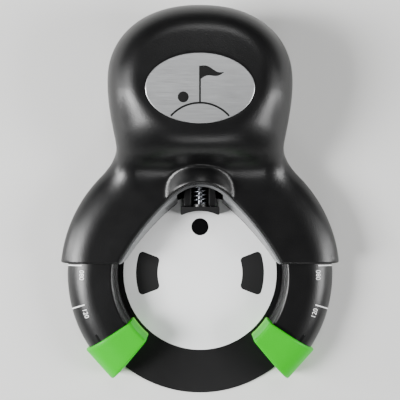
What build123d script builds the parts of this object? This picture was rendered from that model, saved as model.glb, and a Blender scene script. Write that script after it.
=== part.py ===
"""Putting cup that kicks the ball back: white cup plate, curved gates, solenoid kicker, battery head.

Millimetres. The origin is the cup's centre on the ground, +Z up, +Y towards the tall rear head,
so balls roll in from -Y.  Each piece is a separate solid and the moving ones clear their guides.
"""
from build123d import *
import os
from math import asin, atan2, cos, degrees, radians, sin, sqrt

os.makedirs("parts", exist_ok=True)

# ---- driving dimensions -------------------------------------------------------------------
hole_radius = 54.0            # half of a 108 mm golf hole: the gates' inner wall
foot_height = 1.0             # the tray's underside above the ground
fit_gap = 0.2                 # between pieces that drop into each other
run_gap = 0.4                 # between pieces that slide past each other

plate_margin = 4.3            # from the plate's edge to the gates' inner wall
plate_top = 6.5
plate_thickness = 2.5
pad_inner, pad_outer = 27.5, 41.6
pad_half_angle = 20.7
pad_thickness = 1.2
window_radius = 5.6
window_y = 30.1

ramp_setback = 6.0            # the ramp's edge lies this far inside the gates' outer wall
plate_proud = 0.2             # the plate stands this far above the ramp's crest
ramp_lip = 0.7                # the ramp's edge, above the tray's underside
tray_floor = 2.0

arm_width = 31.0
arm_top = 25.0
arm_shell = 2.2
arm_ridge = 13.0              # flat top of the arm, from its inner wall outwards
arm_spring_z = 10.0           # where the arm's outer rounding starts
arm_ledge = 1.0               # the arm's foot stands this far inside its wall
tip_start, tip_end = -33.3, -50.2
tail_angle = 20.0             # the arm's hidden tail ends here
gate_travel = 38.0            # degrees from the narrowest to the fully retracted position
tip_proud = 2.6
tip_round = 1.5

wall = 2.5                    # the cover's wall
shoulder_gap = 1.0            # between an arm's outer wall and the cover
roof_gap = 2.0                # between an arm's top and the cover
shoulder_round_x, shoulder_round_z = 20.0, 14.0
shoulder_front = 8.0          # y of the cover's straight front edges
throat_nose_y = 33.4          # centre of the throat's rear arc
throat_nose_radius, throat_side_radius = 24.0, 165.0
throat_margin = 3.7           # from the throat's mouth to the gates' inner wall
liner_nose_radius, liner_side_radius = 18.6, 168.0
liner_margin = 5.6            # the same at the liner's foot
liner_wall = 1.2
throat_wall = 1.6             # the cover's wall behind the liner
liner_lintel = 2.0            # the liner above the kicker's window
dome_radius = 22.0
dome_y, dome_z = 52.0, 17.0

head_half_width = 56.4
head_widest_y = 119.0
head_top = 59.0
head_round_x, head_round_z = 22.0, 28.0
head_foot_half, head_foot_y = 47.5, 60.0      # the head's lower front corners
head_brow_half, head_brow_y = 8.0, 79.0       # and its upper ones
badge_length, badge_width, badge_thickness = 62.1, 40.0, 1.0
badge_y = 111.1

kicker_z = 20.0               # the plunger's axis
kicker_travel = 14.0
paddle_half = 12.0
paddle_hollow_radius = 25.6
paddle_front_y = 40.7
paddle_back_y = 43.2
paddle_rise = 6.0             # its top above the plunger's axis
paddle_clearance = 0.7        # and its underside above the plate
rod_radius = 1.5
core_radius = 5.5
core_clearance = 1.4          # between the core, drawn in, and the battery bay
guide_half = 10.0
guide_slot_half = 5.5
spring_radius, spring_wire, spring_pitch = 3.6, 0.45, 2.6
coil_radius = 11.0
yoke_thickness = 2.0
yoke_length = 26.0
yoke_clearance = 0.5          # between the solenoid's frame and the cover's front wall

cell_radius, cell_length = 7.25, 50.5
nub_radius, nub_length = 2.7, 1.0
cell_spring = 4.2
contact_thickness = 0.5
contact_margin = 1.0
spring_coil_radius, spring_coil_wire = 4.0, 0.8
bay_wall = 1.6
bay_front_y = 100.5
door_thickness = 1.8
door_travel = 7.0
door_overlap = 2.0

board_width, board_length, board_thickness = 44.0, 46.0, 1.6
screw_radius = 1.4
screw_head = 2.8
screw_head_height = 1.6
boss_radius = 4.0
boss_split = 20.0             # height where the tray's bosses meet the cover's
pilot_depth = 7.0             # the screws' holes in the cover's bosses
cover_screw_recess = 4.0
wire_radius = 0.8
switch_z = 20.0
switch_travel = 4.0
switch_depth = 4.6
switch_clearance = 0.6        # between the switch's body and the rear wall

# ---- sizes that follow ----------------------------------------------------------------------
arm_outer = hole_radius + arm_width
shoulder_radius = arm_outer + shoulder_gap + wall
shoulder_top = arm_top + roof_gap + wall
liner_top = shoulder_top - wall
plate_radius = hole_radius - plate_margin
ramp_radius = arm_outer - ramp_setback
ramp_top = plate_top - plate_proud
tray_floor_top = foot_height + tray_floor
plate_seat = plate_top - plate_thickness
ramp_inner = plate_radius + fit_gap
arm_foot = ramp_top + 0.5                      # the arm's inner foot rides over the ramp
arm_skirt = foot_height + run_gap              # the arm's outer wall, beyond the ramp's edge
cells_half = 2 * cell_radius + 0.6             # two cells side by side, two high
bay_length = cell_length + cell_spring + 2 * contact_thickness
bay_rear_y = bay_front_y + bay_length
bay_floor = foot_height + door_thickness + fit_gap
bay_roof = bay_floor + 2 * cells_half
board_z = bay_roof + bay_wall + 3.0
head_rear = bay_rear_y + bay_wall + switch_depth + switch_clearance + wall
yoke_front_y = head_foot_y + wall + yoke_clearance
yoke_rear_y = yoke_front_y + yoke_length


def radial_plane(angle):
    """Vertical plane through the cup's axis, its x pointing outwards at this angle."""
    outwards = Vector(1, 0, 0).rotate(Axis.Z, angle)
    sideways = Vector(0, -1, 0).rotate(Axis.Z, angle)
    return Plane(origin=(0, 0, 0), x_dir=outwards, z_dir=sideways)


def bearing(point):
    """Angle of a point about the cup's axis, in degrees from +X."""
    return degrees(atan2(point.Y, point.X))


def ring_sector(inner, outer, low, high, start, end):
    """A curved bar of rectangular section about the cup's axis."""
    with BuildPart() as bar:
        with BuildSketch(radial_plane(start)):
            with Locations(((inner + outer) / 2, (low + high) / 2)):
                Rectangle(outer - inner, high - low)
        revolve(axis=Axis.Z, revolution_arc=end - start)
    return bar.part


def side_turn(nose_radius, side_radius, mouth_half):
    """Half-angle of the nose's arc for side arcs that end this far from the middle at the front."""
    reach = side_radius - nose_radius
    depth = shoulder_front - throat_nose_y
    chord = sqrt(mouth_half**2 + depth**2)
    share = (nose_radius - (chord**2 - nose_radius**2) / (2 * reach)) / chord
    return degrees(asin(share) - atan2(depth, mouth_half))


throat_turn = side_turn(throat_nose_radius, throat_side_radius, hole_radius - throat_margin)
liner_turn = side_turn(liner_nose_radius, liner_side_radius, hole_radius - liner_margin)


def throat_lines(nose_radius, side_radius, turn, front_y):
    """Half-open outline of the throat: two long side arcs meeting a round nose."""
    reach = side_radius - nose_radius
    centre_x = -reach * sin(radians(turn))
    centre_y = throat_nose_y - reach * cos(radians(turn))
    front_angle = degrees(asin((front_y - centre_y) / side_radius))
    front_x = centre_x + sqrt(side_radius**2 - (front_y - centre_y) ** 2)
    side_sweep = 90 - turn - front_angle
    CenterArc((centre_x, centre_y), side_radius, front_angle, side_sweep)
    CenterArc((0, throat_nose_y), nose_radius, 90 - turn, 2 * turn)
    CenterArc((-centre_x, centre_y), side_radius, 90 + turn, side_sweep)
    return front_x


def throat_sketch(height, nose_radius, side_radius, turn, front_y=shoulder_front):
    """The throat's plan at one height, closed by a straight line across its mouth."""
    with BuildSketch(Plane.XY.offset(height)) as plan:
        with BuildLine():
            front_x = throat_lines(nose_radius, side_radius, turn, front_y)
            Line((-front_x, front_y), (front_x, front_y))
        make_face()
    return plan.sketch


def throat_prism(grow):
    """Upright block of the throat's plan, open to the front, as wide as the cover's opening."""
    reach = 2 * shoulder_radius
    with BuildPart() as prism:
        add(throat_sketch(0, throat_nose_radius + grow, throat_side_radius + grow, throat_turn))
        extrude(amount=2 * head_top)
        with BuildSketch():
            with Locations((0, shoulder_front - reach / 2)):
                Rectangle(2 * reach, reach)
        extrude(amount=2 * head_top)
    return prism.part


# ---- cup plate: white disc with a V-shaped rear and a slot for the kicker's guide ---------------
def pad_sketch(height, side, gap=0.0):
    """One kidney-shaped pad, concentric with the cup."""
    angle = pad_half_angle - degrees(gap / pad_outer)
    middle = 90 - 90 * side
    with BuildSketch(Plane.XY.offset(height)) as plan:
        with BuildLine():
            outer = CenterArc((0, 0), pad_outer - gap, middle - angle, 2 * angle)
            inner = CenterArc((0, 0), pad_inner + gap, middle - angle, 2 * angle)
            Line(outer @ 0, inner @ 0)
            Line(outer @ 1, inner @ 1)
        make_face()
        fillet(plan.vertices(), 2.6)
    return plan.sketch


plate_screw_radius = 38.0
with BuildPart() as cup_plate:
    with BuildSketch(Plane.XY.offset(plate_seat)):
        Circle(plate_radius)
        with BuildLine():
            edge_x = throat_lines(liner_nose_radius + liner_wall, liner_side_radius + liner_wall,
                                  liner_turn, shoulder_front)
            Polyline((-edge_x, shoulder_front), (-plate_radius - 1, shoulder_front),
                     (-plate_radius - 1, -plate_radius - 1), (plate_radius + 1, -plate_radius - 1),
                     (plate_radius + 1, shoulder_front), (edge_x, shoulder_front))
        make_face(mode=Mode.INTERSECT)
    extrude(amount=plate_thickness)
    for side in (-1, 1):
        add(pad_sketch(plate_top - pad_thickness, side))
        extrude(amount=pad_thickness, mode=Mode.SUBTRACT)
    with BuildSketch(Plane.XY.offset(plate_seat)):
        with Locations((0, window_y)):
            Circle(window_radius)
        with Locations((0, paddle_back_y + plate_radius / 2)):
            Rectangle(2 * (guide_half + fit_gap), plate_radius)
    extrude(amount=plate_thickness, mode=Mode.SUBTRACT)
    with BuildSketch(Plane.XY.offset(plate_seat)):
        with PolarLocations(plate_screw_radius, 3, start_angle=-90):
            Circle(screw_radius)
    extrude(amount=plate_thickness - pad_thickness - 0.3, mode=Mode.SUBTRACT)
cup_plate.part.label = "cup_plate"
export_step(cup_plate.part, "parts/cup_plate.step")

# rubber pads let into the plate, one each side
for side, name in ((-1, "left_plate_pad"), (1, "right_plate_pad")):
    with BuildPart() as plate_pad:
        add(pad_sketch(plate_top - pad_thickness, side, gap=0.1))
        extrude(amount=pad_thickness)
    plate_pad.part.label = name
    export_step(plate_pad.part, f"parts/{name}.step")

# dark window that the ball sensor looks through
with BuildPart() as sensor_window:
    with BuildSketch(Plane.XY.offset(plate_seat)):
        with Locations((0, window_y)):
            Circle(window_radius - 0.1)
    extrude(amount=plate_thickness - 0.3)
sensor_window.part.label = "sensor_window"
export_step(sensor_window.part, "parts/sensor_window.step")


# ---- top cover: shoulders over the gates, a nose dome and the tall head --------------------------
def shoulder_body(shrink):
    """Turned ring-shaped body over the gates, `shrink` inside the cover's outer surface."""
    radius = shoulder_radius - shrink
    top = shoulder_top - shrink
    round_x = shoulder_round_x - shrink
    round_z = shoulder_round_z - shrink
    with BuildPart() as body:
        with BuildSketch(Plane.XZ):
            with BuildLine():
                Line((0, 0), (radius, 0))
                Line((radius, 0), (radius, top - round_z))
                EllipticalCenterArc((radius - round_x, top - round_z), round_x, round_z, start_angle=0,
                                    arc_size=90)
                Line((radius - round_x, top), (0, top))
                Line((0, top), (0, 0))
            make_face()
        revolve(axis=Axis.Z)
    return body.part


def head_sketch(height, shrink, turn):
    """The head's plan where its rounded edge has turned by `turn` degrees from upright."""
    inset = shrink + (head_round_x - shrink) * (1 - cos(radians(turn)))
    share = cos(radians(turn))
    half = head_half_width - inset
    rear = head_rear - inset
    front_half = head_brow_half + (head_foot_half - shrink - head_brow_half) * share
    front_y = head_brow_y + (head_foot_y + shrink - head_brow_y) * share
    side = Vector(half, head_widest_y)
    front = Vector(front_half, front_y)
    corner = 0.62
    with BuildSketch(Plane.XY.offset(height)) as plan:
        with BuildLine():
            Bezier((0, rear), (corner * half, rear),
                   (half, head_widest_y + corner * (rear - head_widest_y)), side)
            Bezier(side, side + Vector(0, 0.4 * (front_y - head_widest_y)),
                   front + (side - front) * 0.4, front)
            Line(front, (0, front_y))
            mirror(about=Plane.YZ)
        make_face()
    return plan.sketch


def head_body(shrink):
    """The tall rounded head, `shrink` inside the cover's outer surface."""
    spring_z = head_top - head_round_z
    with BuildPart() as body:
        add(head_sketch(0, shrink, 0))
        extrude(amount=spring_z)
        for turn in range(0, 91, 15):
            add(head_sketch(spring_z + (head_round_z - shrink) * sin(radians(turn)), shrink, turn))
        loft(ruled=True)
    return body.part


def nose_dome(shrink):
    """Rounded dome over the solenoid, in front of the head."""
    with BuildPart() as body:
        with Locations((0, dome_y, dome_z)):
            Sphere(dome_radius - shrink, arc_size1=0)
            Cylinder(dome_radius - shrink, dome_z, align=(Align.CENTER, Align.CENTER, Align.MAX))
    return body.part


cover_screws_at = [(-42, 136), (42, 136), (-44, 98), (44, 98), (-24, 64), (24, 64)]
window_half = paddle_half + 2.5
window_top = liner_top - liner_lintel
paddle_top = kicker_z + paddle_rise

with BuildPart() as cover_cavity:
    add(shoulder_body(wall))
    add(head_body(wall))
    add(nose_dome(wall))
    add(throat_prism(throat_wall), mode=Mode.SUBTRACT)

with BuildPart() as cover_bosses:
    add(shoulder_body(wall / 2))
    add(head_body(wall / 2))
    with BuildSketch(Plane.XY.offset(boss_split)):
        with Locations(cover_screws_at):
            Circle(boss_radius)
    extrude(amount=head_top, mode=Mode.INTERSECT)

with BuildPart() as top_cover:
    add(shoulder_body(0))
    add(head_body(0))
    add(nose_dome(0))
    add(cover_cavity.part, mode=Mode.SUBTRACT)
    add(cover_bosses.part)
    with BuildSketch(Plane.XY.offset(boss_split)):
        with Locations(cover_screws_at):
            Circle(screw_radius)
    extrude(amount=pilot_depth, mode=Mode.SUBTRACT)
    add(throat_prism(0), mode=Mode.SUBTRACT)
    # the wall round the throat stops above the ramp, and the skirt above the ground
    with BuildSketch():
        Circle(hole_radius + 8)
    extrude(amount=ramp_top + 0.7, mode=Mode.SUBTRACT)
    with BuildSketch():
        Rectangle(4 * shoulder_radius, 4 * head_rear)
    extrude(amount=foot_height, mode=Mode.SUBTRACT)
    # window for the kicker, the switch's slot and the badge's seat
    with BuildSketch(Plane.XZ.offset(-throat_nose_y)):
        with Locations((0, window_top / 2)):
            Rectangle(2 * window_half, window_top)
    extrude(amount=-(throat_nose_radius + wall + 2), mode=Mode.SUBTRACT)
    with Locations((0, head_rear - wall, switch_z)):
        Box(9.0 + 2 * fit_gap, 4 * wall, 4.0 + 2 * fit_gap, mode=Mode.SUBTRACT)
    with BuildSketch(Plane.XY.offset(head_top)):
        with Locations((0, badge_y)):
            Ellipse(badge_length / 2 + 0.1, badge_width / 2 + 0.1)
    extrude(amount=-badge_thickness / 2, mode=Mode.SUBTRACT)
top_cover.part.label = "top_cover"
export_step(top_cover.part, "parts/top_cover.step")


# ---- throat liner: light grey sloped wall between the cover's edge and the plate -----------------
with BuildPart() as throat_liner:
    add(throat_sketch(plate_top, liner_nose_radius + liner_wall, liner_side_radius + liner_wall,
                      liner_turn))
    add(throat_sketch(liner_top, throat_nose_radius - 0.1, throat_side_radius - 0.1, throat_turn))
    loft(ruled=True)
    add(throat_sketch(plate_top, liner_nose_radius, liner_side_radius, liner_turn))
    add(throat_sketch(liner_top, throat_nose_radius - liner_wall, throat_side_radius - liner_wall,
                      throat_turn))
    loft(ruled=True, mode=Mode.SUBTRACT)
    with BuildSketch(Plane.XZ.offset(-throat_nose_y)):
        with Locations((0, window_top / 2)):
            Rectangle(2 * window_half, window_top)
    extrude(amount=-(throat_nose_radius + wall), mode=Mode.SUBTRACT)
throat_liner.part.label = "throat_liner"
export_step(throat_liner.part, "parts/throat_liner.step")

# oval metal badge on the crown
with BuildPart() as oval_badge:
    with BuildSketch(Plane.XY.offset(head_top - badge_thickness / 2)):
        with Locations((0, badge_y)):
            Ellipse(badge_length / 2, badge_width / 2)
    extrude(amount=badge_thickness)
    chamfer(oval_badge.faces().sort_by(Axis.Z)[-1].edges(), 0.35)
oval_badge.part.label = "oval_badge"
export_step(oval_badge.part, "parts/oval_badge.step")


# ---- base tray: ramp, rails for the gates, battery bay and bosses --------------------------------
rail_inner = hole_radius + 6.0
rail_outer = rail_inner + 3.0
rail_top = arm_top - 9.0
rail_start, rail_end = 10.0, 62.0
ramp_end = 62.0
base_edge = wall + 0.3
door_half = cells_half + door_overlap
door_front_y = bay_front_y - door_overlap
door_rear_y = bay_rear_y + door_overlap
post_radius = 3.0
board_y = bay_front_y + bay_length / 2 - 3
board_posts_at = [(-10, board_y - 10), (0, board_y + 17)]
yoke_half, yoke_half_height = 13.0, 12.0
yoke_bottom = kicker_z - yoke_half_height
yoke_screws_at = [(side * 9.5, (yoke_front_y + yoke_rear_y) / 2) for side in (-1, 1)]
guide_seat = plate_seat
pad_ring_inner, pad_ring_outer = 24.0, 34.0
feet_at = [(-36, 143), (36, 143), (-67, 14), (67, 14)]
foot_radius = 6.0
foot_recess = 0.6

sensor_wire_x, sensor_rise_x = 3.0, yoke_half + 2.5
sensor_wire_z = plate_seat - 0.8
cable_turn_y = yoke_rear_y - 5                 # where the sensor's cable turns upwards
cable_route = [(sensor_wire_x, window_y + 6), (sensor_wire_x, window_y + 20),
               (sensor_rise_x, window_y + 32), (sensor_rise_x, cable_turn_y)]
lead_x = cell_radius + 0.15
lead_z = bay_roof - cell_radius
sweep_clear = 0.8             # between the gates' sweep and what stands beside it

with BuildPart() as base_tray:
    # cup floor and ramp in one turned piece
    with BuildSketch(Plane.XZ):
        with BuildLine():
            Polyline((0, foot_height), (ramp_radius, foot_height),
                     (ramp_radius, foot_height + ramp_lip), (ramp_inner, ramp_top),
                     (ramp_inner, plate_seat), (0, plate_seat), close=True)
        make_face()
    revolve(axis=Axis.Z)
    # floor under the head, beyond the ring that the gates' skirts sweep
    with BuildSketch(Plane.XY.offset(foot_height)):
        add(head_sketch(0, base_edge, 0))
        Circle(arm_outer + sweep_clear, mode=Mode.SUBTRACT)
    extrude(amount=tray_floor)
    with BuildSketch(Plane.XY.offset(foot_height)):
        with BuildLine():
            fan_x = 1.5 * arm_outer * cos(radians(ramp_end))
            fan_y = 1.5 * arm_outer * sin(radians(ramp_end))
            Polyline((0, 0), (fan_x, fan_y), (-fan_x, fan_y), close=True)
        make_face()
        Circle(arm_outer + 2 * sweep_clear, mode=Mode.INTERSECT)
        Circle(ramp_radius - 1, mode=Mode.SUBTRACT)
    extrude(amount=tray_floor)
    # bed for the kicker's guide, through the ramp
    with BuildSketch(Plane.XY.offset(guide_seat)):
        with Locations((0, (paddle_back_y + yoke_front_y) / 2)):
            Rectangle(2 * (guide_half + fit_gap), yoke_front_y - paddle_back_y)
    extrude(amount=ramp_top, mode=Mode.SUBTRACT)
    # rails that guide the gates, hidden under the shoulders
    for start in (rail_start, 180 - rail_end):
        add(ring_sector(rail_inner, rail_outer, plate_seat - 2, rail_top, start,
                        start + rail_end - rail_start))
    # posts under the solenoid's frame
    with BuildSketch(Plane.XY.offset(foot_height)):
        with Locations(yoke_screws_at):
            Rectangle(7, 20)
    extrude(amount=yoke_bottom - foot_height)
    # battery bay: four walls and a roof, open underneath, on a thicker ledge for the door
    with BuildSketch(Plane.XY.offset(foot_height)):
        with Locations((0, (bay_front_y + bay_rear_y) / 2)):
            Rectangle(2 * (cells_half + bay_wall), bay_length + 2 * bay_wall)
    extrude(amount=bay_roof + bay_wall - foot_height)
    with BuildSketch(Plane.XY.offset(foot_height)):
        with Locations((0, (door_front_y - door_travel + door_rear_y) / 2)):
            Rectangle(2 * door_half + 3, door_rear_y - door_front_y + door_travel + 3)
    extrude(amount=door_thickness + 2)
    with BuildSketch(Plane.XY.offset(foot_height)):
        with Locations((0, (bay_front_y + bay_rear_y) / 2)):
            Rectangle(2 * cells_half, bay_length)
    extrude(amount=bay_roof - foot_height, mode=Mode.SUBTRACT)
    with BuildSketch(Plane.XY.offset(foot_height)):
        with Locations((0, (door_front_y - door_travel + door_rear_y) / 2)):
            Rectangle(2 * (door_half + fit_gap), door_rear_y - door_front_y + door_travel + 2 * fit_gap)
    extrude(amount=door_thickness + fit_gap, mode=Mode.SUBTRACT)
    # bosses and posts
    with BuildSketch(Plane.XY.offset(foot_height)):
        with Locations(cover_screws_at):
            Circle(boss_radius)
    extrude(amount=boss_split - foot_height)
    with BuildSketch(Plane.XY.offset(bay_roof + bay_wall)):
        with Locations(board_posts_at):
            Circle(post_radius)
    extrude(amount=board_z - bay_roof - bay_wall)
    # holes for screws, from below and from above
    with Locations([(x, y, foot_height) for x, y in cover_screws_at]):
        with Locations(Rot(180, 0, 0)):
            CounterBoreHole(screw_radius + 0.1, screw_head + 0.3, cover_screw_recess + screw_head_height)
    with PolarLocations(plate_screw_radius, 3, start_angle=-90):
        with Locations(Location((0, 0, foot_height), (180, 0, 0))):
            CounterBoreHole(screw_radius + 0.1, screw_head + 0.3, screw_head_height + 0.1, depth=4)
    with BuildSketch(Plane.XY.offset(board_z)):
        with Locations(board_posts_at):
            Circle(screw_radius)
    extrude(amount=-4, mode=Mode.SUBTRACT)
    with BuildSketch(Plane.XY.offset(yoke_bottom)):
        with Locations(yoke_screws_at):
            Circle(screw_radius)
    extrude(amount=-5, mode=Mode.SUBTRACT)
    # pocket for the sensor's board, groove for its wires, seats for the rubber feet
    with Locations((0, window_y, plate_seat)):
        Box(17, 13, 1.8, align=(Align.CENTER, Align.CENTER, Align.MAX), mode=Mode.SUBTRACT)
    with BuildSketch(Plane.XY.offset(foot_height)):
        Circle(pad_ring_outer + 0.1)
        Circle(pad_ring_inner - 0.1, mode=Mode.SUBTRACT)
        with Locations(feet_at):
            Circle(foot_radius + 0.1)
    extrude(amount=foot_recess, mode=Mode.SUBTRACT)
    with BuildSketch(Plane.XY.offset(sensor_wire_z - wire_radius)):
        with BuildLine():
            Polyline(*cable_route, (sensor_rise_x, cable_turn_y + 2))
        trace(line_width=2 * wire_radius + 0.6)
    extrude(amount=ramp_top, mode=Mode.SUBTRACT)
    with BuildSketch(Plane.XZ.offset(-bay_front_y)):
        with Locations([(-lead_x, lead_z), (lead_x, lead_z)]):
            Circle(wire_radius + 0.1)
    extrude(amount=bay_wall, mode=Mode.SUBTRACT)
base_tray.part.label = "base_tray"
export_step(base_tray.part, "parts/base_tray.step")

# rubber feet: a ring under the cup and four round ones
with BuildPart() as rubber_feet:
    with BuildSketch():
        Circle(pad_ring_outer)
        Circle(pad_ring_inner, mode=Mode.SUBTRACT)
        with Locations(feet_at):
            Circle(foot_radius)
    extrude(amount=foot_height + foot_recess)
rubber_feet.part.label = "rubber_feet"
export_step(rubber_feet.part, "parts/rubber_feet.step")


# ---- gates: two curved arms that slide round into the shoulders ----------------------------------
def arm_outline(grow, foot_inner, foot_outer):
    """Outer section of a gate: upright inner wall, flat ridge and a rounded outer side."""
    inner = hole_radius - grow
    ridge = hole_radius + arm_ridge
    outer = arm_outer + grow
    top = arm_top + grow
    Line((inner, foot_inner), (inner, top - 2))
    JernArc((inner, top - 2), (0, 1), 2, -90)
    Line((inner + 2, top), (ridge, top))
    EllipticalCenterArc((ridge, arm_spring_z), outer - ridge, top - arm_spring_z, start_angle=0,
                        arc_size=90)
    Line((outer, arm_spring_z), (outer, foot_outer))


tongue_inner, tongue_outer, tongue_top = hole_radius + 5.0, arm_outer - 6.0, arm_top - 7.0
tongue_end = -46.0
tip_screw_radius_at, tip_screw_angle = hole_radius + 15.0, -40.0
tip_screw_length = 9.0
tongue_roof = 5.0             # the tongue above the screw's head
rib_thickness = 1.6
rib_low, rib_high = rail_top - 5.0, arm_top - 1.0

with BuildPart() as right_gate_arm:
    with BuildSketch(radial_plane(tip_start)):
        with BuildLine():
            arm_outline(0, arm_foot, arm_skirt)
            Line((arm_outer, arm_skirt), (hole_radius, arm_foot))
        make_face()
        with BuildLine():
            Polyline((hole_radius - arm_ledge, arm_foot), (hole_radius, arm_foot),
                     (hole_radius, arm_foot + 6.5), (hole_radius - arm_ledge, arm_foot + 5), close=True)
        make_face()
        with BuildLine():
            arm_outline(-arm_shell, 0, 0)
            Line((arm_outer - arm_shell, 0), (hole_radius + arm_shell, 0))
        make_face(mode=Mode.SUBTRACT)
        for middle in (rail_inner - run_gap - rib_thickness / 2, rail_outer + run_gap + rib_thickness / 2):
            with Locations((middle, (rib_low + rib_high) / 2)):
                Rectangle(rib_thickness, rib_high - rib_low)
    revolve(axis=Axis.Z, revolution_arc=tail_angle - tip_start)
    add(ring_sector(tongue_inner, tongue_outer, 7.5, tongue_top, tongue_end, tip_start + 4))
    add(ring_sector(tongue_inner - 2, tongue_outer - 4, tongue_top - 0.1, arm_top - 1, tip_start,
                    tip_start + 4))
    with Locations(Location((0, 0, 0), (0, 0, tip_screw_angle))):
        with Locations((tip_screw_radius_at, 0, tongue_top)):
            Cylinder(screw_radius + 0.1, 30, mode=Mode.SUBTRACT)
            with Locations((0, 0, -tongue_roof)):
                Cylinder(screw_head + 0.3, tongue_top, align=(Align.CENTER, Align.CENTER, Align.MAX),
                         mode=Mode.SUBTRACT)
right_gate_arm.part.label = "right_gate_arm"
export_step(right_gate_arm.part, "parts/right_gate_arm.step")

with BuildPart() as left_gate_arm:
    add(mirror(right_gate_arm.part, about=Plane.YZ))
left_gate_arm.part.label = "left_gate_arm"
export_step(left_gate_arm.part, "parts/left_gate_arm.step")

# green wedge that caps the end of an arm
with BuildPart() as right_gate_tip:
    with BuildSketch(radial_plane(tip_end)):
        with BuildLine():
            arm_outline(tip_proud, arm_foot + 0.3, arm_skirt)
            Line((arm_outer + tip_proud, arm_skirt), (hole_radius - tip_proud, arm_foot + 0.3))
        make_face()
    revolve(axis=Axis.Z, revolution_arc=tip_start - tip_end)
    end_edges = right_gate_tip.edges().filter_by(lambda edge: abs(bearing(edge @ 0.5) - tip_end) < 0.1)
    fillet(end_edges.filter_by(lambda edge: (edge @ 0.5).Z > arm_spring_z), tip_round)
    add(ring_sector(tongue_inner - 0.15, tongue_outer + 0.15, 0, tongue_top + 0.15, tongue_end - 0.2,
                    tip_start + 1), mode=Mode.SUBTRACT)
    with Locations(Location((0, 0, 0), (0, 0, tip_screw_angle))):
        with Locations((tip_screw_radius_at, 0, tongue_top)):
            Cylinder(screw_radius, 2 * (tip_screw_length - tongue_roof + 2), mode=Mode.SUBTRACT)
right_gate_tip.part.label = "right_gate_tip"
export_step(right_gate_tip.part, "parts/right_gate_tip.step")

with BuildPart() as left_gate_tip:
    add(mirror(right_gate_tip.part, about=Plane.YZ))
left_gate_tip.part.label = "left_gate_tip"
export_step(left_gate_tip.part, "parts/left_gate_tip.step")


def screw(x, y, head_z, length, upwards=True):
    """Pan-head screw whose head's outer face is at head_z."""
    turn = 0 if upwards else 180
    with Locations(Location((x, y, head_z), (turn, 0, 0))):
        Cylinder(screw_head, screw_head_height, align=(Align.CENTER, Align.CENTER, Align.MIN))
        with Locations((0, 0, screw_head_height)):
            Cylinder(screw_radius, length, align=(Align.CENTER, Align.CENTER, Align.MIN))


for side, name in ((-1, "left_tip_screw"), (1, "right_tip_screw")):
    with BuildPart() as tip_screw:
        screw(side * tip_screw_radius_at * cos(radians(tip_screw_angle)),
              tip_screw_radius_at * sin(radians(tip_screw_angle)),
              tongue_top - tongue_roof - screw_head_height, tip_screw_length)
    tip_screw.part.label = name
    export_step(tip_screw.part, f"parts/{name}.step")


# ---- kicker: a T-shaped paddle on the solenoid's rod, with its guide and return spring -----------
hub_radius, hub_length = 4.2, 1.6
guide_gap = 0.6               # between the paddle, at rest, and the guide
rod_grip = 4.0                # the rod's end in the core
guide_front_y = paddle_back_y + guide_gap
guide_wall = 2.0
guide_top = kicker_z + 2.0
guide_rear_y = yoke_front_y - 1.0
rod_front_y = paddle_front_y + 1.2
core_front_y = yoke_front_y + kicker_travel + 0.5
core_length = bay_front_y - bay_wall - core_clearance - core_front_y
spring_front_y = paddle_back_y + hub_length
spring_rear_y = guide_rear_y - guide_wall

with BuildPart() as kicker_paddle:
    with BuildSketch(Plane.XY.offset(plate_top + paddle_clearance)):
        with BuildLine():
            reach = asin(paddle_half / paddle_hollow_radius)
            horn_y = paddle_front_y - paddle_hollow_radius * (1 - cos(reach))
            ThreePointArc((-paddle_half, horn_y), (0, paddle_front_y), (paddle_half, horn_y))
            Polyline((paddle_half, horn_y), (paddle_half, paddle_back_y), (-paddle_half, paddle_back_y),
                     (-paddle_half, horn_y))
        make_face()
    extrude(amount=paddle_top - plate_top - paddle_clearance)
    fillet(kicker_paddle.edges().filter_by(Axis.Z).group_by(Axis.Y)[0], 0.8)
    with BuildSketch(Plane.XZ.offset(-paddle_back_y)):
        with Locations((0, kicker_z)):
            Circle(hub_radius)
    extrude(amount=-hub_length)
    with BuildSketch(Plane.XZ.offset(-rod_front_y)):
        with Locations((0, kicker_z)):
            Circle(rod_radius)
    extrude(amount=-hub_length - 10, mode=Mode.SUBTRACT)
kicker_paddle.part.label = "kicker_paddle"
export_step(kicker_paddle.part, "parts/kicker_paddle.step")

with BuildPart() as plunger_rod:
    with BuildSketch(Plane.XZ.offset(-rod_front_y)):
        with Locations((0, kicker_z)):
            Circle(rod_radius)
    extrude(amount=-(core_front_y + rod_grip - rod_front_y))
plunger_rod.part.label = "plunger_rod"
export_step(plunger_rod.part, "parts/plunger_rod.step")

with BuildPart() as plunger_core:
    with BuildSketch(Plane.XZ.offset(-core_front_y)):
        with Locations((0, kicker_z)):
            Circle(core_radius)
    extrude(amount=-core_length)
    chamfer(plunger_core.edges(), 0.5)
    with BuildSketch(Plane.XZ.offset(-core_front_y)):
        with Locations((0, kicker_z)):
            Circle(rod_radius)
    extrude(amount=-rod_grip, mode=Mode.SUBTRACT)
plunger_core.part.label = "plunger_core"
export_step(plunger_core.part, "parts/plunger_core.step")

# the spring's turns hook onto the paddle's hub and the guide's rear wall
with BuildPart() as kicker_spring:
    spring_length = spring_rear_y - spring_front_y - 2 * spring_wire
    with BuildLine():
        coil = Helix(spring_pitch, spring_length, spring_radius,
                     center=(0, spring_front_y + spring_wire, kicker_z), direction=(0, 1, 0))
    with BuildSketch(Plane(coil @ 0, z_dir=coil % 0)):
        Circle(spring_wire)
    sweep()
kicker_spring.part.label = "kicker_spring"
export_step(kicker_spring.part, "parts/kicker_spring.step")

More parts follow.
